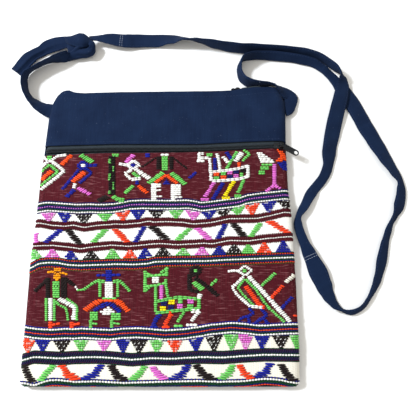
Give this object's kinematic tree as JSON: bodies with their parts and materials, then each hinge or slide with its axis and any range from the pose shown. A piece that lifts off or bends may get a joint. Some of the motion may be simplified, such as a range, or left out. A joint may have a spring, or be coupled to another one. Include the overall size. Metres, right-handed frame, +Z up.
{
  "type": "crossbody bag",
  "caption": "Flat cloth crossbody bag lying face up: hand-woven patterned front, navy band, zipped front and mouth, knotted navy strap laid beside it.",
  "frame": {"origin": "under the middle of the flat back, on the surface the bag lies on", "axes": "+Z up out of the patterned front, +Y toward the mouth of the bag, +X toward the slider end of the front zip"},
  "size_m": [0.4025, 0.3592, 0.0168],
  "materials": {
    "navy_cloth": "plain woven cotton, matte",
    "woven_cloth": "maroon ribbed ground with coloured supplementary weft figures",
    "zip_tape": "herringbone polyester tape",
    "zip_coil": "nylon coil",
    "black_metal": "black enamel over cast zinc, worn at the rims"
  },
  "bodies": {
    "bag": {"back_panel": "navy_cloth", "front_band": "navy_cloth", "woven_panel": "woven_cloth", "front_zip_tape_upper": "zip_tape", "front_zip_tape_lower": "zip_tape", "front_zip_coil": "zip_coil", "front_zip_slider": "black_metal", "top_zip_tape_front": "zip_tape", "top_zip_tape_back": "zip_tape", "top_zip_coil": "zip_coil", "top_zip_slider": "black_metal", "strap_left": "navy_cloth", "strap_knot": "navy_cloth", "strap_tail": "navy_cloth", "strap_inner_run": "navy_cloth", "strap_outer_run": "navy_cloth"},
    "zip_pull": {"front_zip_pull": "black_metal"}
  },
  "joints": [
    {"name": "zip_pull_hinge", "type": "hinge", "parent": "bag", "child": "zip_pull", "pos_m": [0.1134, 0.0792, 0.01375], "axis": [-0.4509, -0.8926, 0], "range_deg": [0, 150]}
  ]
}
